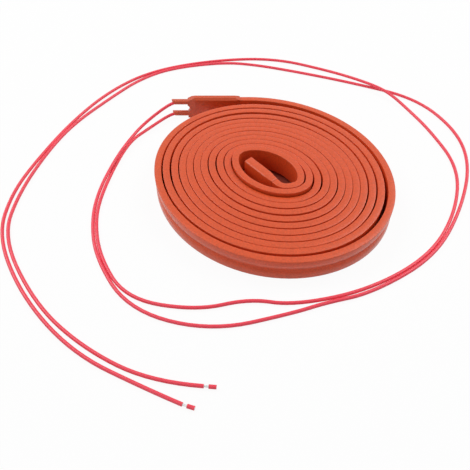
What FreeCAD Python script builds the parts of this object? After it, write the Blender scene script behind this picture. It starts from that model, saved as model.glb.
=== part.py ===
"""Silicone heater strip: a flat heating belt wound into a loose oval coil, with a sealed inner end
and a moulded terminal cover on its tail, from which two thin leads run round the coil on the floor.

Millimetres, +Z up.  The origin is the middle of the coil's footprint, on the floor.
The belt's path is a chain of short chords, each one a fixed share of a turn.  The radius grows
with every turn, so neighbouring turns stay one pitch apart, and swings twice a turn, which
makes the coil oval.
"""
import FreeCAD
import Part
import Sketcher
import math
import os

V = FreeCAD.Vector
UP = V(0, 0, 1)

# name, value, what it sets
SIZES = (
    ("belt_thickness", 4.0, "belt, inner face to ridge"),
    ("belt_width", 14.0, "belt, floor to top edge"),
    ("ridge_width", 4.2, "flat of each of the two ridges on the belt's outer face"),
    ("groove_depth", 0.5, "how deep the outer face dips between the ridges"),
    ("element_spacing", 9.0, "between the two heating elements in the belt"),
    ("element_diameter", 1.2, "bared end of a heating element"),
    ("element_tail", 3.0, "bared length past each end of the belt"),
    ("coil_turns", 11.5, "from the foot of the inner bend to the start of the tail"),
    ("sectors_per_turn", 28, "chords in one turn"),
    ("coil_radius", 16.42, "mean radius where the first turn starts"),
    ("turn_pitch", 4.38, "growth of the radius in one turn"),
    ("oval_swing", 11.6, "how far the radius falls at the oval's ends and rises on its sides"),
    ("oval_angle", -38.7, "heading of the oval's long axis, degrees from +X"),
    ("turn_drift", 0.074, "uneven winding: turns crowd at the back and open at the front"),
    ("first_turn_pinch", 0.68, "how much tighter the innermost turn is, in radius"),
    ("inner_rise", 2.0, "how far the innermost turn and its tongue stand proud of the rest"),
    ("rise_end", 1.25, "turns at which the belt is back down on the floor"),
    ("rise_run", 0.5, "turns that it takes to come down"),
    ("first_loose_turn", 8, "whole turns wound before the loose ones start"),
    ("loose_turns", 3, "turns that start with a loose step"),
    ("loose_step", 0.53, "radius that each loose turn gains at the front"),
    ("tail_opening", 2.9, "radius that the last quarter turn gains, which frees the tail"),
    ("bend_radius", 6.2, "inner bend from the coil into the tongue"),
    ("bend_angle", 50.0, "turn of that bend, degrees"),
    ("bend_chords", 5, "chords in that bend"),
    ("tongue_clearance", 4.6, "sealed end to the turn ahead of it"),
    ("tail_length", 24.7, "straight belt from the coil to its outer end"),
    ("end_cover_side", 0.9, "rubber of the sealed inner end beside the belt"),
    ("end_cover_top", 0.8, "rubber of the sealed inner end over the belt"),
    ("end_cover_thickness", "=belt_thickness + 2 * end_cover_side", "across the belt"),
    ("end_cover_height", "=belt_width + end_cover_top", "the belt's lower edge to its top"),
    ("end_cover_setback", 1.8, "that cover's mouth to the inner bend"),
    ("end_cover_wall", 1.4, "rubber past the return link"),
    ("end_cover_edge", 0.6, "bevel of that cover's edges"),
    ("cover_side", 0.6, "rubber of the terminal cover beside the belt"),
    ("cover_top", 1.5, "rubber of the terminal cover over the belt"),
    ("cover_thickness", "=belt_thickness + 2 * cover_side", "terminal cover, across the belt"),
    ("cover_height", "=belt_width + cover_top", "terminal cover, floor to top"),
    ("cover_grip", 19.0, "length of the terminal cover over the belt"),
    ("cover_reach", 16.0, "length of the terminal cover past the belt's end"),
    ("cover_bevel", 1.3, "bevel along the terminal cover's upper edges"),
    ("foot_bevel", 0.4, "bevel along its lower edges"),
    ("mouth_run", 3.0, "slope over the terminal cover's mouth, along the cover"),
    ("mouth_wall", 0.3, "rubber over and beside the belt at that mouth"),
    ("shoulder_run", 5.0, "sloped and tapered shoulders behind the prongs, along the cover"),
    ("notch_depth", 1.5, "hollow between the prongs, into the cover's end"),
    ("prong_root", 7.0, "how far the prongs reach back into the cover"),
    ("prong_diameter", 3.6, "sleeve moulded round each lead"),
    ("prong_length", 8.5, "sleeve past the cover's end, on its short side"),
    ("prong_lip", 2.0, "how much longer the slanted tip is on its upper side"),
    ("crimp_diameter", 2.4, "crimp barrels"),
    ("lead_crimp_length", 9.0, "barrels between elements and leads"),
    ("return_crimp_length", 5.0, "barrels between elements and return link"),
    ("crimp_gap", 0.5, "belt end to crimp, and crimp to lead jacket"),
    ("link_diameter", 1.2, "return link wire"),
    ("link_bend", 1.4, "bend radius of the return link, on its centreline"),
    ("lead_diameter", 2.0, "lead jackets"),
    ("conductor_diameter", 0.9, "stranded conductor in each lead"),
    ("lead_exit_run", 31.8, "straight lead from the crimp to its first bend"),
    ("bare_length", 2.2, "conductor bared at the free tips"),
    ("slug_length", 3.5, "offcut of jacket left on the free tips"),
    ("lead_bend_share", 0.45, "share of the shorter run that a lead's bend takes"),
    ("crossing_height", 3.6, "middle of the lower lead where it climbs over the upper one"),
)

doc = FreeCAD.newDocument("HeaterStrip")


def add_row(sheet, row, name, value, note):
    """One size: its name, its value or formula under that name as an alias, and a note."""
    sheet.set("A%d" % row, name)
    sheet.setAlias("B%d" % row, name)
    sheet.set("B%d" % row, str(value))
    sheet.set("C%d" % row, note)


def make_sheet():
    """The sheet with one row for each size."""
    sheet = doc.addObject("Spreadsheet::Sheet", "Sizes")
    for row, (name, value, note) in enumerate(SIZES, start=1):
        add_row(sheet, row, name, value, note)
    doc.recompute()
    return sheet


sheet = make_sheet()


def size(name):
    """A driving size, read from the sheet."""
    return float(getattr(sheet, name))


def bind(owner, **expressions):
    """Tie properties of an object to expressions over the sheet's cells."""
    for prop, expression in expressions.items():
        owner.setExpression(prop, expression)


# The belt's path

def direction(heading):
    """Unit vector along a heading in degrees, counted from +X."""
    return V(math.cos(math.radians(heading)), math.sin(math.radians(heading)), 0)


def to_right(heading):
    """Unit vector to the right of a heading, which is the belt's outer side."""
    return direction(heading - 90)


def sector_radius(index):
    """Radius of one sector of the coil, counted from the inside."""
    per_turn = size("sectors_per_turn")
    turns = (index + 0.5) / per_turn
    heading = 360 * turns
    from_long_axis = math.radians(2 * (heading - 90 - size("oval_angle")))
    radius = size("coil_radius") + size("turn_pitch") * turns
    radius -= size("oval_swing") * math.cos(from_long_axis)
    radius -= size("turn_drift") * math.sin(math.radians(heading))
    if turns < 1:
        radius -= size("first_turn_pinch")
    loose_starts = (size("first_loose_turn") + step for step in range(int(size("loose_turns"))))
    radius += size("loose_step") * sum(1 for start in loose_starts if turns > start)
    if turns > size("coil_turns") - 0.25:
        radius += size("tail_opening")
    return radius


def turn_left(point, heading, radius, angle):
    """Where an arc to the left ends."""
    centre = point - to_right(heading) * radius
    return centre + to_right(heading + angle) * radius


def rise(turns):
    """Height of the belt's lower edge after a number of turns: a smooth step down to the floor."""
    share = min(max((size("rise_end") - turns) / size("rise_run"), 0), 1)
    return size("inner_rise") * share * share * (3 - 2 * share)


def coil_corners(start):
    """Corners of the coil's path, from the foot of the inner bend to the tail."""
    per_turn = size("sectors_per_turn")
    angle = 360 / per_turn
    corners = [start + UP * rise(0)]
    for index in range(int(round(size("coil_turns") * per_turn))):
        corner = turn_left(corners[-1], index * angle, sector_radius(index), angle)
        corner.z = rise((index + 1) / per_turn)
        corners.append(corner)
    return corners


def centred_start():
    """Start of the first turn that puts the footprint's middle on the origin."""
    corners = coil_corners(V())
    half_belt = size("belt_thickness") / 2
    low_x = min(corner.x for corner in corners) - half_belt
    high_x = max(corner.x for corner in corners) + half_belt
    low_y = min(corner.y for corner in corners) - half_belt
    high_y = corners[-1].y + size("cover_thickness") / 2
    return V(-(low_x + high_x) / 2, -(low_y + high_y) / 2, 0)


def bend_corners(end):
    """Corners of the inner bend, from the tongue to its end at the first turn."""
    radius = size("bend_radius")
    centre = end - to_right(0) * radius
    count = int(size("bend_chords"))
    headings = (size("bend_angle") * (step / count - 1) for step in range(count + 1))
    return [centre + to_right(heading) * radius for heading in headings]


def link_start():
    """How far past the belt's inner end the return link's legs begin."""
    return size("crimp_gap") + size("return_crimp_length") / 2


def link_end():
    """How far past the belt's inner end the return link's outer side lies."""
    straight = size("return_crimp_length") / 2
    return link_start() + straight + size("link_bend") + size("link_diameter") / 2


def crossing(start, along, near, far):
    """How far along a line from start it crosses the stretch from near to far, or None."""
    stretch = far - near
    turn = along.x * stretch.y - along.y * stretch.x
    gap = near - start
    if abs(turn) < 1e-9:
        return None
    share = (gap.x * along.y - gap.y * along.x) / turn
    distance = (gap.x * stretch.y - gap.y * stretch.x) / turn
    return distance if 0 <= share <= 1 and distance > 0 else None


def tongue_length():
    """Length of the tongue that leaves its clearance between the sealed end and the turn ahead."""
    back = -direction(TONGUE_HEADING)
    turn_ahead = COIL[:int(size("sectors_per_turn"))]
    half_belt = size("belt_thickness") / 2
    half_cover = size("end_cover_thickness") / 2
    reaches = []
    for near, far in zip(turn_ahead, turn_ahead[1:]):
        inwards = UP.cross(far - near).normalize() * half_belt
        for side in (-half_cover, half_cover):
            start = BEND[0] + to_right(TONGUE_HEADING) * side
            reaches.append(crossing(start, back, near + inwards, far + inwards))
    room = min(reach for reach in reaches if reach and reach > size("bend_radius"))
    return room - link_end() - size("end_cover_wall") - size("tongue_clearance")


COIL = coil_corners(centred_start())
BEND = bend_corners(COIL[0])
TONGUE_HEADING = -size("bend_angle")
TAIL_HEADING = 360 * size("coil_turns") % 360
INNER_END = BEND[0] - direction(TONGUE_HEADING) * tongue_length()
OUTER_END = COIL[-1] + direction(TAIL_HEADING) * size("tail_length")
add_row(sheet, len(SIZES) + 1, "end_cover_grip", tongue_length() - size("end_cover_setback"),
        "length of the sealed inner end over the belt, worked out from the tongue")
doc.recompute()


def at_belt_end(point, heading):
    """Placement whose X runs along the belt's heading and whose -Y is its outer side."""
    return FreeCAD.Placement(point, FreeCAD.Rotation(UP, heading))


def element_heights():
    """Heights of the lower and the upper heating element."""
    middle = size("belt_width") / 2
    return middle - size("element_spacing") / 2, middle + size("element_spacing") / 2


def belt_section():
    """(across, up) corners of the belt's section; across grows towards the outer side."""
    half = size("belt_thickness") / 2
    top = size("belt_width")
    ridge = size("ridge_width")
    groove = half - size("groove_depth")
    return ((-half, 0), (half, 0), (half, ridge), (groove, top / 2),
            (half, top - ridge), (half, top), (-half, top))


def mitred_section(before, corner, after):
    """The belt's section at one corner of its path, in the plane that halves the corner."""
    first = V((corner - before).y, (before - corner).x, 0).normalize()
    second = V((after - corner).y, (corner - after).x, 0).normalize()
    middle = (first + second).normalize()
    stretch = 1 / middle.dot(first)
    return [corner + middle * across * stretch + UP * up for across, up in belt_section()]


def flat_face(corners):
    """Plane face with these corners."""
    return Part.Face(Part.makePolygon(list(corners) + [corners[0]]))


def make_belt():
    """The belt, mitred from chord to chord, with the bared ends of its embedded elements."""
    path = [INNER_END] + BEND + COIL[1:] + [OUTER_END]
    befores = [path[0] * 2 - path[1]] + path[:-1]
    afters = path[1:] + [path[-1] * 2 - path[-2]]
    sections = [mitred_section(*corner) for corner in zip(befores, path, afters)]
    faces = [flat_face(sections[0]), flat_face(sections[-1])]
    for near, far in zip(sections, sections[1:]):
        level = abs(near[0].z - far[0].z) < 1e-9
        for index in range(len(near)):
            ring = (near[index - 1], near[index], far[index], far[index - 1])
            patches = [ring] if level else [ring[:3], (ring[0],) + ring[2:]]
            faces += [flat_face(patch) for patch in patches]
    shell = Part.makeShell(faces)
    shell.sewShape()
    shape = Part.makeSolid(shell)
    if shape.Volume < 0:
        shape.reverse()
    tail = size("element_tail")
    for height in element_heights():
        for point, heading in ((INNER_END, TONGUE_HEADING + 180), (OUTER_END, TAIL_HEADING)):
            bared = Part.makeCylinder(size("element_diameter") / 2, tail, point + UP * height,
                                      direction(heading))
            shape = shape.fuse(bared)
    belt = doc.addObject("Part::Feature", "heating_belt")
    belt.Shape = shape.Solids[0]
    return belt


# Crimps and the return link, drawn along X and then put in place

def make_crimp(name, length_name, base, heading):
    """A barrel whose first half fits the element and whose second half fits the other wire."""
    other_wire = "link_diameter" if "return" in name else "conductor_diameter"
    half = "Sizes.%s / 2" % length_name
    barrel = doc.addObject("Part::Cylinder", name + "_barrel")
    bind(barrel, Radius="Sizes.crimp_diameter / 2", Height="Sizes.%s" % length_name)
    element_bore = doc.addObject("Part::Cylinder", name + "_element_bore")
    bind(element_bore, Radius="Sizes.element_diameter / 2", Height=half)
    wire_bore = doc.addObject("Part::Cylinder", name + "_wire_bore")
    bind(wire_bore, Radius="Sizes.%s / 2" % other_wire, Height=half)
    wire_bore.setExpression("Placement.Base.z", half)
    bores = doc.addObject("Part::MultiFuse", name + "_bores")
    bores.Shapes = [element_bore, wire_bore]
    crimp = doc.addObject("Part::Cut", name)
    crimp.Base = barrel
    crimp.Tool = bores
    crimp.Placement = FreeCAD.Placement(base, FreeCAD.Rotation(UP, direction(heading)))
    return crimp


def make_crimps():
    """Two barrels past each end of the belt."""
    crimps = []
    ends = (("return_crimp", "return_crimp_length", INNER_END, TONGUE_HEADING + 180),
            ("lead_crimp", "lead_crimp_length", OUTER_END, TAIL_HEADING))
    for kind, length_name, point, heading in ends:
        for place, height in zip(("lower", "upper"), element_heights()):
            base = point + UP * height + direction(heading) * size("crimp_gap")
            crimps.append(make_crimp("%s_%s" % (kind, place), length_name, base, heading))
    return crimps


def wire_section(diameter, centre, along):
    """Section of a bent wire: an octagon with its corners on the wire's round outline."""
    side = UP.cross(along).normalize()
    angles = (math.radians(45 * corner) for corner in range(8))
    return flat_face([centre + (UP * math.cos(angle) + side * math.sin(angle)) * (diameter / 2)
                      for angle in angles])


def make_return_link():
    """A wire bent like a staple that joins the two elements at the sealed end."""
    outward = direction(TONGUE_HEADING + 180)
    bend = size("link_bend")
    low, high = element_heights()
    leg_start = INNER_END + outward * link_start()
    leg_end = leg_start + outward * (size("return_crimp_length") / 2)
    slant = bend * (1 - math.sqrt(0.5))
    lower_middle = leg_end + outward * (bend - slant) + UP * (low + slant)
    upper_middle = leg_end + outward * (bend - slant) + UP * (high - slant)
    far = leg_end + outward * bend
    edges = (Part.LineSegment(leg_start + UP * low, leg_end + UP * low),
             Part.Arc(leg_end + UP * low, lower_middle, far + UP * (low + bend)),
             Part.LineSegment(far + UP * (low + bend), far + UP * (high - bend)),
             Part.Arc(far + UP * (high - bend), upper_middle, leg_end + UP * high),
             Part.LineSegment(leg_end + UP * high, leg_start + UP * high))
    wire = Part.Wire([edge.toShape() for edge in edges])
    link = doc.addObject("Part::Feature", "return_link")
    link.Shape = wire.makePipe(wire_section(size("link_diameter"), leg_start + UP * low, outward))
    return link


# The two moulded covers

def origin_plane(body, role):
    """One of a body's own origin planes."""
    return next(item for item in body.Origin.OriginFeatures if item.Role == role)


def new_sketch(body, name, role, offset=None):
    """A sketch on an origin plane of the body; offset is an expression along its normal."""
    sketch = body.newObject("Sketcher::SketchObject", name)
    sketch.AttachmentSupport = [(origin_plane(body, role), "")]
    sketch.MapMode = "FlatFace"
    if offset:
        sketch.setExpression("AttachmentOffset.Base.z", offset)
    return sketch


def outline(sketch, corners):
    """Closed polygon through corners given as pairs of expressions, each one tied to the sheet."""
    points = [V(evaluate(across), evaluate(up), 0) for across, up in corners]
    lines = [Part.LineSegment(first, second)
             for first, second in zip(points, points[1:] + points[:1])]
    sketch.addGeometry(lines)
    for index, (across, up) in enumerate(corners):
        following = (index - 1) % len(corners)
        sketch.addConstraint(Sketcher.Constraint("Coincident", following, 2, index, 1))
        tie(sketch, "DistanceX", index, across)
        tie(sketch, "DistanceY", index, up)


def tie(sketch, kind, index, expression, point=1):
    """Hold one coordinate of a point of a line or circle to an expression."""
    value = evaluate(expression)
    number = sketch.addConstraint(Sketcher.Constraint(kind, -1, 1, index, point, value))
    sketch.setExpression("Constraints[%d]" % number, expression)


def evaluate(expression):
    """Value of an expression over the sheet's cells."""
    return float(sheet.evalExpression(expression))


def circles(sketch, heights, diameter):
    """Circles of one diameter on the sketch's upright axis, tied to the sheet."""
    radius = diameter + " / 2"
    for height in heights:
        circle = Part.Circle(V(0, evaluate(height), 0), UP, evaluate(radius))
        index = sketch.addGeometry(circle)
        tie(sketch, "DistanceX", index, "0", point=3)
        tie(sketch, "DistanceY", index, height, point=3)
        number = sketch.addConstraint(Sketcher.Constraint("Radius", index, evaluate(radius)))
        sketch.setExpression("Constraints[%d]" % number, radius)


def pad(body, sketch, length):
    """Solid from a section, along the sketch's normal."""
    feature = body.newObject("PartDesign::Pad", sketch.Name + "_pad")
    feature.Profile = sketch
    feature.setExpression("Length", length)
    doc.recompute()
    return feature


def pocket(body, sketch, length="", forwards=False, both_ways=False):
    """Cut a sketch out of the body, through all of it or to a length, and see that it did cut."""
    before = body.Shape.Volume
    feature = body.newObject("PartDesign::Pocket", sketch.Name + "_pocket")
    feature.Profile = sketch
    feature.Reversed = forwards
    feature.Midplane = both_ways
    if length:
        feature.setExpression("Length", length)
    else:
        feature.Type = "ThroughAll"
    doc.recompute()
    if body.Shape.Volume >= before:
        raise RuntimeError("%s cut nothing" % feature.Name)
    return feature


LOW = "(Sizes.belt_width - Sizes.element_spacing) / 2"
HIGH = "(Sizes.belt_width + Sizes.element_spacing) / 2"


def belt_pocket(body, forwards):
    """Room for the end of the belt, from the cover's mouth to the belt's end face."""
    half = "Sizes.belt_thickness / 2"
    groove = "-(Sizes.belt_thickness / 2 - Sizes.groove_depth)"
    upper_ridge = "Sizes.belt_width - Sizes.ridge_width"
    sketch = new_sketch(body, body.Name + "_belt_end", "YZ_Plane")
    outline(sketch, ((half, "0"), ("-" + half, "0"), ("-" + half, "Sizes.ridge_width"),
                     (groove, "Sizes.belt_width / 2"), ("-" + half, upper_ridge),
                     ("-" + half, "Sizes.belt_width"), (half, "Sizes.belt_width")))
    pocket(body, sketch, forwards=forwards)


def make_end_cover():
    """Sealed inner end: a bevelled block over the belt's end, its crimps and the return link."""
    body = doc.addObject("PartDesign::Body", "end_cover")
    half = "Sizes.end_cover_thickness / 2"
    top = "Sizes.end_cover_height"
    crimp_end = "Sizes.crimp_gap + Sizes.return_crimp_length"
    link_outside = crimp_end + " + Sizes.link_bend + Sizes.link_diameter / 2"
    tip = link_outside + " + Sizes.end_cover_wall"
    section = new_sketch(body, "end_section", "YZ_Plane", "-(%s)" % tip)
    outline(section, (("-" + half, "0"), (half, "0"), (half, top), ("-" + half, top)))
    block = pad(body, section, "%s + Sizes.end_cover_grip" % tip)
    bevel = body.newObject("PartDesign::Chamfer", "end_bevel")
    bevel.Base = (block, [""])
    bevel.UseAllEdges = True
    bevel.setExpression("Size", "Sizes.end_cover_edge")
    doc.recompute()
    belt_pocket(body, forwards=True)
    crimps = new_sketch(body, "end_crimps", "YZ_Plane")
    circles(crimps, (LOW, HIGH), "Sizes.crimp_diameter")
    pocket(body, crimps, crimp_end)
    wire = "Sizes.link_diameter / 2"
    near = "-(%s)" % crimp_end
    far = "-(%s)" % link_outside
    inside = "-(%s - Sizes.link_diameter)" % link_outside
    link = new_sketch(body, "end_link", "XZ_Plane")
    outline(link, ((near, LOW + " - " + wire), (far, LOW + " - " + wire),
                   (far, HIGH + " + " + wire), (near, HIGH + " + " + wire),
                   (near, HIGH + " - " + wire), (inside, HIGH + " - Sizes.link_bend"),
                   (inside, LOW + " + Sizes.link_bend"), (near, LOW + " + " + wire)))
    pocket(body, link, "Sizes.link_diameter", both_ways=True)
    body.Placement = at_belt_end(INNER_END, TONGUE_HEADING)
    return body


def cut_prong_tip(body, name, height):
    """Slant the end of a prong, so that its upper side is the longer one."""
    radius = "Sizes.prong_diameter / 2"
    short = "Sizes.cover_reach + Sizes.prong_length"
    below = "%s - Sizes.prong_diameter" % height
    lip = "Sizes.prong_lip"
    sketch = new_sketch(body, name, "XZ_Plane")
    outline(sketch, (("%s - %s / 2" % (short, lip), below),
                     ("%s + %s" % (short, lip), "%s + %s" % (height, radius)),
                     ("%s + 2 * %s" % (short, lip), "%s + %s" % (height, radius)),
                     ("%s + 2 * %s" % (short, lip), below)))
    pocket(body, sketch, both_ways=True)


def shape_mouth(body):
    """Slope the cover down to the belt at its mouth, on top and on both sides."""
    mouth = "-Sizes.cover_grip"
    inside = mouth + " + Sizes.mouth_run"
    beyond = mouth + " - 1"
    top = "Sizes.cover_height"
    low_top = "Sizes.belt_width + Sizes.mouth_wall"
    lid = new_sketch(body, "mouth_top", "XZ_Plane")
    outline(lid, ((inside, top), (mouth, low_top), (beyond, low_top), (beyond, top)))
    pocket(body, lid, both_ways=True)
    side = "Sizes.cover_thickness / 2"
    thin_side = "Sizes.belt_thickness / 2 + Sizes.mouth_wall"
    for name, sign in (("mouth_left", ""), ("mouth_right", "-")):
        cheek = new_sketch(body, name, "XY_Plane")
        wide, thin = "%s(%s)" % (sign, side), "%s(%s)" % (sign, thin_side)
        outline(cheek, ((inside, wide), (mouth, thin), (beyond, thin), (beyond, wide)))
        pocket(body, cheek, both_ways=True)


def shape_shoulders(body):
    """Slope the cover's top and taper its sides towards the prongs."""
    end = "Sizes.cover_reach"
    start = end + " - Sizes.shoulder_run"
    beyond = end + " + 1"
    top = "Sizes.cover_height"
    prong_top = HIGH + " + Sizes.prong_diameter / 2"
    slope = new_sketch(body, "shoulder_top", "XZ_Plane")
    outline(slope, ((start, top), (end, prong_top), (beyond, prong_top), (beyond, top)))
    pocket(body, slope, both_ways=True)
    side = "Sizes.cover_thickness / 2"
    thin_side = "Sizes.prong_diameter / 2"
    for name, sign in (("shoulder_left", ""), ("shoulder_right", "-")):
        cheek = new_sketch(body, name, "XY_Plane")
        wide, thin = "%s(%s)" % (sign, side), "%s(%s)" % (sign, thin_side)
        outline(cheek, ((start, wide), (end, thin), (beyond, thin), (beyond, wide)))
        pocket(body, cheek, both_ways=True)


def make_terminal_cover():
    """Moulded block over the belt's tail and the lead crimps, forked into two prongs."""
    body = doc.addObject("PartDesign::Body", "terminal_cover")
    half = "Sizes.cover_thickness / 2"
    top = "Sizes.cover_height"
    bevel = "Sizes.cover_bevel"
    foot = "Sizes.foot_bevel"
    reach = "Sizes.cover_reach"
    inner = "(%s - %s)" % (half, bevel)
    sole = "(%s - %s)" % (half, foot)
    section = new_sketch(body, "cover_section", "YZ_Plane", "-Sizes.cover_grip")
    outline(section, (("-" + sole, "0"), (sole, "0"), (half, foot), (half, top + " - " + bevel),
                      (inner, top), ("-" + inner, top), ("-" + half, top + " - " + bevel),
                      ("-" + half, foot)))
    block = pad(body, section, "Sizes.cover_grip + " + reach)
    shape_mouth(body)
    shape_shoulders(body)

    notch = new_sketch(body, "cover_notch", "XZ_Plane")
    half_gap = "(Sizes.element_spacing - Sizes.prong_diameter) / 2"
    depth = "Sizes.notch_depth"
    radius = "((%s) ^ 2 + %s ^ 2) / (2 * %s)" % (half_gap, depth, depth)
    hollow = notch.addGeometry(Part.Circle(V(evaluate(reach), size("belt_width") / 2, 0), UP,
                                           evaluate(radius)))
    tie(notch, "DistanceX", hollow, "%s + %s - %s" % (reach, radius, depth), point=3)
    tie(notch, "DistanceY", hollow, "Sizes.belt_width / 2", point=3)
    number = notch.addConstraint(Sketcher.Constraint("Radius", hollow, evaluate(radius)))
    notch.setExpression("Constraints[%d]" % number, radius)
    pocket(body, notch, both_ways=True)

    prongs = new_sketch(body, "cover_prongs", "YZ_Plane", reach + " - Sizes.prong_root")
    circles(prongs, (LOW, HIGH), "Sizes.prong_diameter")
    pad(body, prongs, "Sizes.prong_root + Sizes.prong_length + Sizes.prong_lip")
    cut_prong_tip(body, "lower_prong_tip", LOW)
    cut_prong_tip(body, "upper_prong_tip", HIGH)

    belt_pocket(body, forwards=False)
    crimp_end = "Sizes.crimp_gap + Sizes.lead_crimp_length"
    crimps = new_sketch(body, "cover_crimps", "YZ_Plane")
    circles(crimps, (LOW, HIGH), "Sizes.crimp_diameter")
    pocket(body, crimps, crimp_end, forwards=True)
    leads = new_sketch(body, "cover_leads", "YZ_Plane", crimp_end)
    circles(leads, (LOW, HIGH), "Sizes.lead_diameter")
    pocket(body, leads, forwards=True)
    body.Placement = at_belt_end(OUTER_END, TAIL_HEADING)
    return body


# Leads: points of their routes on the floor, in millimetres, from the cover to the free end

CROSSING = size("crossing_height")
LEAD_ROUTES = {
    "upper": ((-94.5, 41), (-103.5, 10), (-104.5, -30), (-98, -62), (-74, -91), (-33, -104.5),
              (8, -92.5), (48.5, -79.5), (85, -57), (108, -22), (126, 18), (126.5, 53),
              (106.5, 87), (64, 106.5), (26, 121.5), (-15, 135), (-57, 130), (-94.5, 107.5),
              (-120, 71.5), (-139, 30), (-150.5, -13), (-146, -57), (-124, -94.5),
              (-87.5, -117.5), (-54, -129.5), (-35, -131)),
    "lower": ((-91, 37.5), (-99.5, 7), (-101, -31), (-94, -63), (-73, -86.5), (-40, -94),
              (-15, -82), (11, -88.5), (45, -76), (81, -57.5), (105, -22.5), (117.5, 14),
              (108.5, 50), (99, 73), (88, 91.5, CROSSING), (75, 104.5, CROSSING), (50, 122),
              (8, 140.5), (-34, 140), (-73.5, 127.5), (-107.5, 99), (-131, 60), (-146.5, 18),
              (-155.5, -25), (-146, -64), (-123, -99.5), (-86, -123), (-60, -134.5),
              (-44, -139.5)),
}


def lead_start(height):
    """Where a lead's jacket begins, at its crimp."""
    reach = 2 * size("crimp_gap") + size("lead_crimp_length")
    return OUTER_END + UP * height + direction(TAIL_HEADING) * reach


def lead_route(place, height):
    """Points of one lead: out of the cover, down to the floor and round the coil."""
    start = lead_start(height)
    points = [start, start + direction(TAIL_HEADING) * size("lead_exit_run")]
    for point in LEAD_ROUTES[place]:
        on_floor = len(point) == 2
        points.append(V(point[0], point[1], size("lead_diameter") / 2 if on_floor else point[2]))
    return points


def rounded_wire(name, points):
    """Straight runs joined by tangent arcs, each as large as its two runs allow."""
    edges = []
    radii = []
    start = points[0]
    for before, corner, after in zip(points, points[1:], points[2:]):
        back = before - corner
        ahead = after - corner
        half_turn = (math.pi - back.getAngle(ahead)) / 2
        reach = size("lead_bend_share") * min(back.Length, ahead.Length)
        radius = reach / math.tan(half_turn)
        back.normalize()
        ahead.normalize()
        depth = radius / math.cos(half_turn) - radius
        middle = corner + (back + ahead).normalize() * depth
        first = corner + back * reach
        last = corner + ahead * reach
        edges.append(Part.LineSegment(start, first).toShape())
        edges.append(Part.Arc(first, middle, last).toShape())
        radii.append(radius)
        start = last
    edges.append(Part.LineSegment(start, points[-1]).toShape())
    print("%s bend radii: %s" % (name, " ".join("%.0f" % radius for radius in radii)))
    return Part.Wire(edges)


def make_lead(place, height):
    """One lead's jacket with the conductor inside it, swept along its route."""
    name = "lead_" + place
    points = lead_route(place, height)
    wire = rounded_wire(name, points)
    section = wire_section(size("lead_diameter"), points[0], points[1] - points[0])
    lead = doc.addObject("Part::Feature", name)
    lead.Shape = wire.makePipe(section)
    print("%s length %.1f, volume %.1f, section times length %.1f"
          % (name, wire.Length, lead.Shape.Volume, section.Area * wire.Length))
    return lead


# Bared conductors at both ends of the leads, and the offcuts of jacket left on the free tips

def make_rod(name, diameter, length, base, along):
    """A round bar; diameter and length are expressions."""
    rod = doc.addObject("Part::Cylinder", name)
    bind(rod, Radius=diameter + " / 2", Height=length)
    rod.Placement = FreeCAD.Placement(base, FreeCAD.Rotation(UP, along))
    return rod


def make_conductor_root(place, height):
    """Bared conductor from the middle of the lead's crimp to the jacket."""
    heading = direction(TAIL_HEADING)
    length = "Sizes.lead_crimp_length / 2 + Sizes.crimp_gap"
    base = lead_start(height) - heading * evaluate(length)
    return make_rod("conductor_root_" + place, "Sizes.conductor_diameter", length, base, heading)


def make_free_tip(place, height):
    """Bared conductor at the lead's free end, and the slug of jacket pushed out over its tip."""
    before, end = lead_route(place, height)[-2:]
    along = (end - before).normalize()
    tip = make_rod("conductor_tip_" + place, "Sizes.conductor_diameter",
                   "Sizes.bare_length + Sizes.slug_length", end, along)
    base = end + along * size("bare_length")
    outside = make_rod("slug_%s_outside" % place, "Sizes.lead_diameter", "Sizes.slug_length",
                       base, along)
    bore = make_rod("slug_%s_bore" % place, "Sizes.conductor_diameter", "Sizes.slug_length",
                    base, along)
    slug = doc.addObject("Part::Cut", "tip_slug_" + place)
    slug.Base = outside
    slug.Tool = bore
    return [tip, slug]


def check_document():
    """Stop if any feature failed or has no sound shape."""
    doc.recompute()
    for item in doc.Objects:
        if "Invalid" in item.State or "Error" in item.State:
            raise RuntimeError("%s did not compute" % item.Name)
        if item.isDerivedFrom("Part::Feature") and not item.isDerivedFrom("Sketcher::SketchObject"):
            if item.Shape.isNull() or not item.Shape.isValid():
                raise RuntimeError("%s has no sound shape" % item.Name)


def export(pieces):
    """One STEP file for each piece."""
    os.makedirs("parts", exist_ok=True)
    for piece in pieces:
        piece.Shape.exportStep("parts/%s.step" % piece.Label)


def make_strip():
    """Every piece of the strip."""
    pieces = [make_belt(), make_end_cover(), make_return_link(), make_terminal_cover()]
    pieces += make_crimps()
    for place, height in zip(("lower", "upper"), element_heights()):
        pieces.append(make_lead(place, height))
        pieces.append(make_conductor_root(place, height))
        pieces += make_free_tip(place, height)
    return pieces


PIECES = make_strip()
check_document()
export(PIECES)
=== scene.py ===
"""Looks of the silicone heater strip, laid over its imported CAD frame.

Sizes are in millimetres and degrees, as in the part's source, unless a comment says otherwise.
Meshes and curves are made in metres, +Z up.
"""

import math

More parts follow.
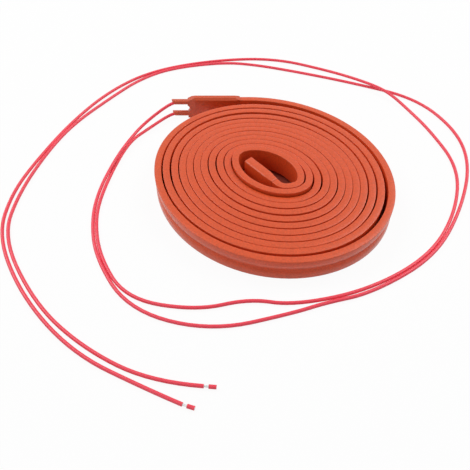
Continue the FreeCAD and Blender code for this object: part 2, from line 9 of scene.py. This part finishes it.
import bpy
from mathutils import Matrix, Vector


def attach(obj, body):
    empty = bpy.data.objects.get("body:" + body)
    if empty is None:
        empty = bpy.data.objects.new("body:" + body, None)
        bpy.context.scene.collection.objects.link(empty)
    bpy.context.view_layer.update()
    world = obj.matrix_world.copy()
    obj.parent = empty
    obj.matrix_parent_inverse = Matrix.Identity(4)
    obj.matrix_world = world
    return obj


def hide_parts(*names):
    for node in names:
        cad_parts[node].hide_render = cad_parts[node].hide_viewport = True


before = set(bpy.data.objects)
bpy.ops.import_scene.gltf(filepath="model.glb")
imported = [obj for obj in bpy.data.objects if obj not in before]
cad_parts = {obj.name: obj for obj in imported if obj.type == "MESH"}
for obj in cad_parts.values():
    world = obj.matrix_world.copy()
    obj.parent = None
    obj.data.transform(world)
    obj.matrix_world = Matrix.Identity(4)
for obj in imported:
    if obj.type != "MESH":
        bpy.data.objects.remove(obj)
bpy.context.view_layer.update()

MM = 0.001

# Belt and coil, as in the part's source, which works out the tongue's length and the coil's start
BELT_THICKNESS = 4.0
BELT_WIDTH = 14.0
COIL_TURNS = 11.5
SECTORS_PER_TURN = 28
COIL_RADIUS = 16.42
TURN_PITCH = 4.38
OVAL_SWING = 11.6
OVAL_ANGLE = -38.7
TURN_DRIFT = 0.074
FIRST_TURN_PINCH = 0.68
FIRST_LOOSE_TURN = 8
LOOSE_TURNS = 3
LOOSE_STEP = 0.53
TAIL_OPENING = 2.9
OPENED_TURNS = 0.25
INNER_RISE = 2.0
BEND_RADIUS = 6.2
BEND_ANGLE = 50.0
TONGUE_LENGTH = 16.1
TAIL_LENGTH = 24.7
COIL_START = (7.2156, -17.4088)

# Groove and rounded edges of the belt, finer than in the part's source
VALLEY_DEPTH = 1.2
VALLEY_WIDTH = 7.6
TOP_EDGE = 0.3
FOOT_EDGE = 0.9

# Turns at which the belt is back down on the floor, and turns that it takes to come down
RISE_END = 1.45
RISE_RUN = 0.35

# How far out each turn lies from the even spiral, on the four sides of the coil
TURN_SHIFTS = {
    "front": (0.8, 0.6, 0.95, 0.45, 0.6, 1.1, 1.35, 1.4, 1.3, 1.15, 0.65, 1.4),
    "right": (0.0, -0.1, 0.3, 0.9, 0.65, 0.75, 0.52, 0.28, -0.4, -0.5, -0.5, 0.9),
    "back": (0.0, -0.9, -0.95, -1.0, -1.06, -0.82, -0.88, -0.94, -1.3, -0.6, -0.9, 0.0),
    "left": (-0.05, -0.6, -0.4, 0.0, 0.2, -0.05, -0.1, -0.3, -0.6, -0.5, -0.5, 0.0),
}

# Sealed inner end. The mouth share is how much of its extra size stands at its mouth already, and
# the tip share is how much of its edge's radius the tip is drawn in by.
END_COVER_SIDE = 0.9
END_COVER_TOP = 0.8
END_COVER_GRIP = 14.3
END_COVER_PAST_BELT = 8.9
END_COVER_TAPER = 7.0
END_COVER_EDGE = 0.9
END_COVER_MOUTH_SHARE = 0.12
END_COVER_TIP_SHARE = 0.98

# Rounding of the terminal cover's edges where they turn by more than an angle, once its points are
# joined
COVER_EDGE = 0.45
SHARP_ANGLE = 30
WELD_REACH = 0.01

# Leads, with their heights in the prongs
LEAD_DIAMETER = 2.0
LEAD_START_REACH = 10.0
LEAD_HEIGHTS = {"lower": 2.5, "upper": 11.5}

# Height of the lower lead's middle where it climbs over the upper one
CROSSING = 3.6

# Points of the leads' routes from the prongs to the free ends, with the height where
# a lead is off the floor
LEAD_ROUTES = {
    "upper": (
        (-58, 67.5, 11.5), (-65, 66, 11), (-81.5, 52, 5.2), (-89.2, 37, 3.8),
        (-95.5, 19.5, 3.4), (-102.2, -6), (-102.5, -30), (-95.6, -58), (-74, -91),
        (-33, -103.2), (8.3, -92.5), (24, -86.7), (48.5, -80.7), (85.6, -57.6),
        (109.4, -22.4), (126, 18), (125.5, 52), (106.5, 87), (64, 106), (26, 120),
        (-8, 130.5), (-32, 133), (-70, 124.8), (-92, 109.5), (-109, 87.5), (-130, 57),
        (-141, 28), (-149.2, -9), (-149.2, -43.4), (-121.5, -86.6), (-92.7, -111.8),
        (-58.8, -129.1), (-35, -131),
    ),
    "lower": (
        (-58, 67.5, 2.5), (-65, 66.3, 2.5), (-79.8, 50.6, 1.2), (-88.3, 40.6),
        (-94.4, 22), (-100, -9), (-100.3, -30.5), (-93.6, -57), (-76, -84.5),
        (-40, -91.3), (-14, -84.2), (8, -88.3), (47.6, -78.8), (84.3, -55.9),
        (106.5, -22.9), (117.5, 14), (108.5, 50), (99, 73), (87.5, 91, CROSSING),
        (73.5, 103, CROSSING), (50, 121.5), (8, 139.5), (-41, 135.6), (-84.2, 121.1),
        (-111.4, 95.3), (-131.8, 59), (-146.5, 18), (-153.3, -10), (-152.2, -42.2),
        (-129.2, -82), (-97, -114.6), (-60, -132.6), (-44, -139.5),
    ),
}

# How finely the smooth shapes are cut up
STEPS_PER_SECTOR = 4
STEPS_PER_BEND = 16
VALLEY_STEPS = 16
CORNER_STEPS = 4
TAPER_STEPS = 8
TIP_STEPS = 5
SOFT_EDGE_SEGMENTS = 3
LEAD_STEPS_ROUND = 5
LEAD_STEPS_ALONG = 8

# Colours as they look on screen, 0 to 255
BELT_COLOUR = (224, 86, 40)
LEAD_COLOUR = (243, 71, 89)
TIN_COLOUR = (205, 205, 205)
CRIMP_COLOUR = (200, 184, 150)
# The shaded floor's colour is painted shade: a dark sheet under the coil for the shade in the hollow
# and between the turns.
SHADED_FLOOR_COLOUR = (150, 74, 62)

# Tone of the terminal cover, as a share of the belt's colour: partly the cover's own darker
# silicone, partly painted shade for its face in the coil's shadow
COVER_TONE_AND_SHADE = 0.94

# Finish of the materials, with a darkest and a palest share of their colour and the grain's strength
BELT_FINISH = {"roughness": 0.33, "darkest": 0.92, "grain": 0.25}
LEAD_FINISH = {"roughness": 0.35, "darkest": 1.0, "grain": 0.05}
SILICONE_PALEST = 1.04
SILICONE_GLOSS = 0.45
METAL_DARKEST = 0.9
METAL_PALEST = 1.0
METAL_GRAIN = 0.2
TIN_ROUGHNESS = 0.4
CRIMP_ROUGHNESS = 0.35
SHADED_FLOOR_ROUGHNESS = 0.9

# Noise behind the patches and the grain, with its scale as repeats in a metre
SILICONE_MOTTLE_SCALE = 1100
SILICONE_GRAIN_SCALE = 900
METAL_MOTTLE_SCALE = 400
METAL_GRAIN_SCALE = 2500
MOTTLE_DETAIL = 4
MOTTLE_RANGE = (0.3, 0.7)
GRAIN_DETAIL = 3
GRAIN_DEPTH = 0.3

# White floor and the one under the coil, painted dark as shade, each a little below the strip,
# with the white one's side in metres
FLOOR_SIDE = 4
FLOOR_DROP = 0.2
SHADED_FLOOR_DROP = 0.1
PAPER_REFLECTION = 0.9

# Share of the white floor that glows to the eye, and strength of the surroundings as a light
FLOOR_GLOW = 0.94
WORLD_LEVEL = 0.27

# Place and side of each lamp in metres, and its power in watts
LAMPS = {
    "back_light_left": ((-0.6, 0.3, 0.75), 0.6, 4.6),
    "back_light_right": ((0.6, 0.3, 0.75), 0.6, 4.6),
    "front_light": ((-0.6, -0.8, 0.6), 0.5, 1.0),
}

# Camera, with its place in metres and its angle below level
CAMERA_PLACE = (-0.02111, -0.23782, 0.22641)
CAMERA_ANGLE = 49
LENS = 41.36
SENSOR_WIDTH = 36


def eased(share):
    """A share from 0 to 1, with a soft start and a soft end."""
    return share * share * (3 - 2 * share)


# Colours and materials

def linear(colour):
    """Linear RGBA of a screen colour."""
    def channel(value):
        share = value / 255
        return share / 12.92 if share <= 0.04045 else ((share + 0.055) / 1.055) ** 2.4
    return tuple(channel(value) for value in colour) + (1.0,)


def toned(colour, share):
    """A screen colour with all its channels multiplied by a share."""
    return tuple(value * share for value in colour)


def new_material(name):
    """A material with nodes, its node tree and its shader."""
    material = bpy.data.materials.new(name)
    material.use_nodes = True
    tree = material.node_tree
    return material, tree, tree.nodes["Principled BSDF"]


def add_noise(tree, scale, detail):
    """Noise that stays with the piece, as the socket of its values."""
    place = tree.nodes.new("ShaderNodeTexCoord")
    noise = tree.nodes.new("ShaderNodeTexNoise")
    noise.inputs["Scale"].default_value = scale
    noise.inputs["Detail"].default_value = detail
    tree.links.new(place.outputs["Object"], noise.inputs["Vector"])
    return noise.outputs["Fac"]


def add_mottle(tree, shader, colour, scale, darkest, palest):
    """Soft patches between a darker and a paler shade of the colour."""
    ramp = tree.nodes.new("ShaderNodeValToRGB")
    for end, position, share in zip(ramp.color_ramp.elements, MOTTLE_RANGE, (darkest, palest)):
        end.position = position
        end.color = linear(toned(colour, share))
    tree.links.new(add_noise(tree, scale, MOTTLE_DETAIL), ramp.inputs["Fac"])
    tree.links.new(ramp.outputs["Color"], shader.inputs["Base Color"])


def add_grain(tree, shader, scale, strength):
    """Fine bumps over the surface."""
    bump = tree.nodes.new("ShaderNodeBump")
    bump.inputs["Strength"].default_value = strength
    bump.inputs["Distance"].default_value = GRAIN_DEPTH * MM
    tree.links.new(add_noise(tree, scale, GRAIN_DETAIL), bump.inputs["Height"])
    tree.links.new(bump.outputs["Normal"], shader.inputs["Normal"])


def silicone(name, colour, roughness, darkest, grain):
    """Satin silicone rubber, a little uneven in shade."""
    material, tree, shader = new_material(name)
    add_mottle(tree, shader, colour, SILICONE_MOTTLE_SCALE, darkest, SILICONE_PALEST)
    add_grain(tree, shader, SILICONE_GRAIN_SCALE, grain)
    shader.inputs["Roughness"].default_value = roughness
    shader.inputs["Specular IOR Level"].default_value = SILICONE_GLOSS
    return material


def metal(name, colour, roughness):
    """Plain metal with a faint grain."""
    material, tree, shader = new_material(name)
    add_mottle(tree, shader, colour, METAL_MOTTLE_SCALE, METAL_DARKEST, METAL_PALEST)
    add_grain(tree, shader, METAL_GRAIN_SCALE, METAL_GRAIN)
    shader.inputs["Metallic"].default_value = 1.0
    shader.inputs["Roughness"].default_value = roughness
    return material


def seen_share(tree, share):
    """A share for rays from the camera and off gloss or through glass, and none for the rest."""
    path = tree.nodes.new("ShaderNodeLightPath")
    seen = path.outputs["Is Camera Ray"]
    for kind in ("Is Glossy Ray", "Is Transmission Ray"):
        either = tree.nodes.new("ShaderNodeMath")
        either.operation = "MAXIMUM"
        tree.links.new(seen, either.inputs[0])
        tree.links.new(path.outputs[kind], either.inputs[1])
        seen = either.outputs[0]
    scaled = tree.nodes.new("ShaderNodeMath")
    scaled.operation = "MULTIPLY"
    scaled.inputs[1].default_value = share
    tree.links.new(seen, scaled.inputs[0])
    return scaled.outputs[0]


def floor_material():
    """White paper that keeps a faint shadow."""
    material, tree, _ = new_material("floor_white")
    tree.nodes.clear()
    out = tree.nodes.new("ShaderNodeOutputMaterial")
    paper = tree.nodes.new("ShaderNodeBsdfDiffuse")
    paper.inputs["Color"].default_value = (PAPER_REFLECTION,) * 3 + (1.0,)
    glow = tree.nodes.new("ShaderNodeEmission")
    glow.inputs["Strength"].default_value = 1.0
    mix = tree.nodes.new("ShaderNodeMixShader")
    tree.links.new(seen_share(tree, FLOOR_GLOW), mix.inputs["Fac"])
    tree.links.new(paper.outputs[0], mix.inputs[1])
    tree.links.new(glow.outputs[0], mix.inputs[2])
    tree.links.new(mix.outputs[0], out.inputs["Surface"])
    return material


def shaded_floor_material():
    """Dull floor painted dark as shade, without any gloss."""
    material, _, shader = new_material("floor_painted_shade")
    shader.inputs["Base Color"].default_value = linear(SHADED_FLOOR_COLOUR)
    shader.inputs["Roughness"].default_value = SHADED_FLOOR_ROUGHNESS
    shader.inputs["Specular IOR Level"].default_value = 0.0
    return material


# Course of the belt: the spiral of the part's source, with each turn moved to where it lies

def direction(heading):
    """Unit vector along a heading in degrees from +X."""
    return Vector((math.cos(math.radians(heading)), math.sin(math.radians(heading)), 0))


def to_right(heading):
    """Unit vector to the right of a heading, the belt's outer side."""
    return direction(heading - 90)


def sector_radius(index):
    """Radius of one sector of the coil."""
    turns = (index + 0.5) / SECTORS_PER_TURN
    heading = 360 * turns
    radius = COIL_RADIUS + TURN_PITCH * turns
    radius -= OVAL_SWING * math.cos(math.radians(2 * (heading - 90 - OVAL_ANGLE)))
    radius -= TURN_DRIFT * math.sin(math.radians(heading))
    if turns < 1:
        radius -= FIRST_TURN_PINCH
    for step in range(LOOSE_TURNS):
        if turns > FIRST_LOOSE_TURN + step:
            radius += LOOSE_STEP
    if turns > COIL_TURNS - OPENED_TURNS:
        radius += TAIL_OPENING
    return radius


def rise(turns):
    """Height of the belt's lower edge after a number of turns: a smooth step down to the floor."""
    share = min(max((RISE_END - turns) / RISE_RUN, 0), 1)
    return INNER_RISE * eased(share)


def turn_shift(turns):
    """How far out the belt lies after a number of turns, eased from each side to the next."""
    shifts = [shift for sides in zip(*TURN_SHIFTS.values()) for shift in sides]
    place = turns * len(TURN_SHIFTS)
    side = min(int(place), len(shifts) - 2)
    share = eased(place - side)
    return shifts[side] * (1 - share) + shifts[side + 1] * share


def settled(point, heading):
    """A station where its turn really lies: a little in or out, and as high as the belt is there."""
    turns = max(heading, 0) / 360
    share_on_coil = min(1 + heading / BEND_ANGLE, 1)
    moved = point + to_right(heading) * turn_shift(turns) * share_on_coil
    moved.z = rise(turns)
    return moved, heading


def arc_stations(start, heading, radius, angle, steps):
    """Points along an arc to the left, each with its heading, without the first."""
    centre = start - to_right(heading) * radius
    turned = [heading + angle * step / steps for step in range(1, steps + 1)]
    return [(centre + to_right(place) * radius, place) for place in turned]


def belt_stations():
    """Points of the belt's centreline with their headings, from its inner to its outer end."""
    start = Vector((COIL_START[0], COIL_START[1], 0))
    bend_start = start - to_right(0) * BEND_RADIUS + to_right(-BEND_ANGLE) * BEND_RADIUS
    stations = [(bend_start - direction(-BEND_ANGLE) * TONGUE_LENGTH, -BEND_ANGLE)]
    stations.append((bend_start, -BEND_ANGLE))
    stations += arc_stations(bend_start, -BEND_ANGLE, BEND_RADIUS, BEND_ANGLE, STEPS_PER_BEND)
    angle = 360 / SECTORS_PER_TURN
    for index in range(round(COIL_TURNS * SECTORS_PER_TURN)):
        point, heading = stations[-1]
        stations += arc_stations(point, heading, sector_radius(index), angle, STEPS_PER_SECTOR)
    point, heading = stations[-1]
    stations.append((point + direction(heading) * TAIL_LENGTH, heading))
    return [settled(point, heading) for point, heading in stations]


STATIONS = belt_stations()
OUTER_END = STATIONS[-1][0]


# Belt and covers

def rounded_corner(across, up, radius, first):
    """Quarter circle of section points inside a corner, from a first angle in degrees."""
    angles = [math.radians(first + 90 * step / CORNER_STEPS) for step in range(CORNER_STEPS + 1)]
    return [(across + radius * math.cos(angle), up + radius * math.sin(angle))
            for angle in angles]


def belt_profile():
    """Section of the belt: flat inside, two ridges with a creased valley between them outside."""
    half = BELT_THICKNESS / 2
    points = rounded_corner(half - FOOT_EDGE, FOOT_EDGE, FOOT_EDGE, -90)
    for step in range(VALLEY_STEPS + 1):
        along = 2 * step / VALLEY_STEPS - 1
        dip = VALLEY_DEPTH * (1 - abs(along)) ** 2
        points.append((half - dip, (BELT_WIDTH + VALLEY_WIDTH * along) / 2))
    points += rounded_corner(half - TOP_EDGE, BELT_WIDTH - TOP_EDGE, TOP_EDGE, 0)
    points += rounded_corner(TOP_EDGE - half, BELT_WIDTH - TOP_EDGE, TOP_EDGE, 90)
    points += rounded_corner(TOP_EDGE - half, TOP_EDGE, TOP_EDGE, 180)
    return points


def tube_faces(rings, count):
    """Faces between rings of points, with both ends closed."""
    faces = [tuple(range(count - 1, -1, -1))]
    for ring in range(rings - 1):
        base = ring * count
        for index in range(count):
            following = (index + 1) % count
            faces.append((base + index, base + following, base + count + following,
                          base + count + index))
    last = (rings - 1) * count
    faces.append(tuple(range(last, last + count)))
    return faces


def make_mesh_piece(name, vertices, faces, material, node):
    """A smooth-shaded piece from points in millimetres, in the place of a CAD node."""
    mesh = bpy.data.meshes.new(name)
    mesh.from_pydata([Vector(vertex) * MM for vertex in vertices], [], faces)
    mesh.materials.append(material)
    mesh.polygons.foreach_set("use_smooth", [True] * len(mesh.polygons))
    mesh.update()
    piece = bpy.data.objects.new(name, mesh)
    bpy.context.collection.objects.link(piece)
    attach(piece, "root")
    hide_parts(node)


def make_belt(material):
    """The belt swept smoothly along its stations."""
    profile = belt_profile()
    vertices = [point + to_right(heading) * across + Vector((0, 0, up))
                for point, heading in STATIONS for across, up in profile]
    faces = tube_faces(len(STATIONS), len(profile))
    make_mesh_piece("belt", vertices, faces, material, "heating_belt")


def block_section(half_width, low, high, edge):
    """Rounded rectangle as (across, up) points."""
    points = rounded_corner(half_width - edge, low + edge, edge, -90)
    points += rounded_corner(half_width - edge, high - edge, edge, 0)
    points += rounded_corner(edge - half_width, high - edge, edge, 90)
    points += rounded_corner(edge - half_width, low + edge, edge, 180)
    return points


def taper_section(share):
    """Distance past the belt's end and section of the sealed end, at a share of its taper."""
    swell = END_COVER_MOUTH_SHARE + (1 - END_COVER_MOUTH_SHARE) * eased(share)
    section = block_section(BELT_THICKNESS / 2 + END_COVER_SIDE * swell, 0,
                            BELT_WIDTH + END_COVER_TOP * swell, END_COVER_EDGE * swell)
    return END_COVER_TAPER * share - END_COVER_GRIP, section


def tip_section(share):
    """Distance past the belt's end and section of the sealed end, at a share of its rounded tip."""
    turned = math.radians(90 * share)
    inset = END_COVER_EDGE * (1 - math.cos(turned)) * END_COVER_TIP_SHARE
    section = block_section(BELT_THICKNESS / 2 + END_COVER_SIDE - inset, inset,
                            BELT_WIDTH + END_COVER_TOP - inset, END_COVER_EDGE - inset)
    return END_COVER_PAST_BELT - END_COVER_EDGE * (1 - math.sin(turned)), section


def make_end_cover(material):
    """The sealed inner end, tapered down to the belt at its mouth."""
    inner_end, heading = STATIONS[0]
    outward = -direction(heading)
    sections = [taper_section(step / TAPER_STEPS) for step in range(TAPER_STEPS + 1)]
    sections += [tip_section(step / TIP_STEPS) for step in range(TIP_STEPS + 1)]
    vertices = [inner_end + outward * past + to_right(heading) * across + Vector((0, 0, up))
                for past, section in sections for across, up in section]
    faces = tube_faces(len(sections), len(sections[0][1]))[::-1]
    make_mesh_piece("sealed_end", vertices, faces, material, "end_cover")


def soften(node, width):
    """Round the edges of a CAD piece a little, without changing its mesh."""
    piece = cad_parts[node]
    weld = piece.modifiers.new("weld", "WELD")
    weld.merge_threshold = WELD_REACH * MM
    bevel = piece.modifiers.new("soft_edges", "BEVEL")
    bevel.width = width * MM
    bevel.segments = SOFT_EDGE_SEGMENTS
    bevel.limit_method = "ANGLE"
    bevel.angle_limit = math.radians(SHARP_ANGLE)


def paint(node, material):
    """Give a CAD node its material."""
    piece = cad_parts[node]
    piece.data.materials.clear()
    piece.data.materials.append(material)


def dress_terminal_cover():
    """The moulded cover on the tail, darker than the belt, partly its own darker silicone and partly
    painted shade, and with softer edges.
    """
    colour = toned(BELT_COLOUR, COVER_TONE_AND_SHADE)
    paint("terminal_cover", silicone("cover_silicone", colour, **BELT_FINISH))
    soften("terminal_cover", COVER_EDGE)


# Leads

def lead_points(place):
    """Control points of one lead, in metres, from inside its prong to its free end."""
    points = [OUTER_END + Vector((-LEAD_START_REACH, 0, LEAD_HEIGHTS[place]))]
    for point in LEAD_ROUTES[place]:
        height = point[2] if len(point) == 3 else LEAD_DIAMETER / 2
        points.append(Vector((point[0], point[1], height)))
    return [point * MM for point in points]


def lead_curve(place, material):
    """The smooth round curve of one lead."""
    points = lead_points(place)
    curve = bpy.data.curves.new("lead_curve_" + place, "CURVE")
    curve.dimensions = "3D"
    curve.bevel_depth = LEAD_DIAMETER / 2 * MM
    curve.bevel_resolution = LEAD_STEPS_ROUND
    curve.use_fill_caps = True
    spline = curve.splines.new("NURBS")
    spline.points.add(len(points) - 1)
    for target, point in zip(spline.points, points):
        target.co = (point.x, point.y, point.z, 1)
    spline.order_u = 3
    spline.use_endpoint_u = True
    spline.resolution_u = LEAD_STEPS_ALONG
    curve.materials.append(material)
    return curve


def make_lead(place, material):
    """One lead, out of its prong and along the floor, in place of the CAD's lead."""
    lead = bpy.data.objects.new("lead_wire_" + place, lead_curve(place, material))
    bpy.context.collection.objects.link(lead)
    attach(lead, "root")
    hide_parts("lead_" + place)


def dress():
    """Every piece of the strip with its material."""
    belt_rubber = silicone("belt_silicone", BELT_COLOUR, **BELT_FINISH)
    lead_rubber = silicone("lead_silicone", LEAD_COLOUR, **LEAD_FINISH)
    tin = metal("tinned_strands", TIN_COLOUR, TIN_ROUGHNESS)
    crimp = metal("crimp_brass", CRIMP_COLOUR, CRIMP_ROUGHNESS)
    make_belt(belt_rubber)
    for place in LEAD_HEIGHTS:
        make_lead(place, lead_rubber)
        paint("tip_slug_" + place, lead_rubber)
        paint("conductor_tip_" + place, tin)
        paint("conductor_root_" + place, tin)
        paint("lead_crimp_" + place, crimp)
        paint("return_crimp_" + place, crimp)
    paint("return_link", tin)
    make_end_cover(belt_rubber)
    dress_terminal_cover()


# Stage

def make_floor():
    """White floor under the strip."""
    bpy.ops.mesh.primitive_plane_add(size=FLOOR_SIDE, location=(0, 0, -FLOOR_DROP * MM))
    floor = bpy.context.object
    floor.name = "floor"
    floor.data.materials.append(floor_material())


def make_shaded_floor():
    """Floor under the coil alone, painted dark as shade: painted shade for the darkness the
    photograph shows between the turns.
    """
    last_turn = STATIONS[-2 - SECTORS_PER_TURN * STEPS_PER_SECTOR:-1]
    corners = [Vector((point.x, point.y, -SHADED_FLOOR_DROP)) * MM for point, _ in last_turn]
    mesh = bpy.data.meshes.new("shaded_floor")
    mesh.from_pydata(corners, [], [tuple(range(len(corners)))])
    mesh.materials.append(shaded_floor_material())
    floor = bpy.data.objects.new("shaded_floor", mesh)
    bpy.context.collection.objects.link(floor)


def make_world():
    """Even surroundings, white to the eye and dimmer as a light."""
    world = bpy.data.worlds.new("studio")
    bpy.context.scene.world = world
    world.use_nodes = True
    tree = world.node_tree
    background = tree.nodes["Background"]
    background.inputs["Color"].default_value = (1, 1, 1, 1)
    level = tree.nodes.new("ShaderNodeMapRange")
    level.inputs["To Min"].default_value = WORLD_LEVEL
    level.inputs["To Max"].default_value = 1.0
    tree.links.new(seen_share(tree, 1.0), level.inputs["Value"])
    tree.links.new(level.outputs["Result"], background.inputs["Strength"])


def make_lamp(name, place, side, power):
    """A square soft lamp, aimed at the middle of the coil."""
    lamp = bpy.data.lights.new(name, "AREA")
    lamp.size = side
    lamp.energy = power
    holder = bpy.data.objects.new(name, lamp)
    bpy.context.collection.objects.link(holder)
    holder.location = place
    holder.rotation_euler = (-Vector(place)).to_track_quat("-Z", "Y").to_euler()


def make_camera():
    """The photograph's view, from in front and above."""
    camera = bpy.data.cameras.new("camera")
    camera.lens = LENS
    camera.sensor_width = SENSOR_WIDTH
    holder = bpy.data.objects.new("camera", camera)
    bpy.context.collection.objects.link(holder)
    holder.location = CAMERA_PLACE
    holder.rotation_euler = (math.radians(90 - CAMERA_ANGLE), 0, 0)
    bpy.context.scene.camera = holder


dress()
make_floor()
make_shaded_floor()
make_world()
for lamp_name, (lamp_place, lamp_side, lamp_power) in LAMPS.items():
    make_lamp(lamp_name, lamp_place, lamp_side, lamp_power)
make_camera()
bpy.context.scene.view_settings.view_transform = "Standard"
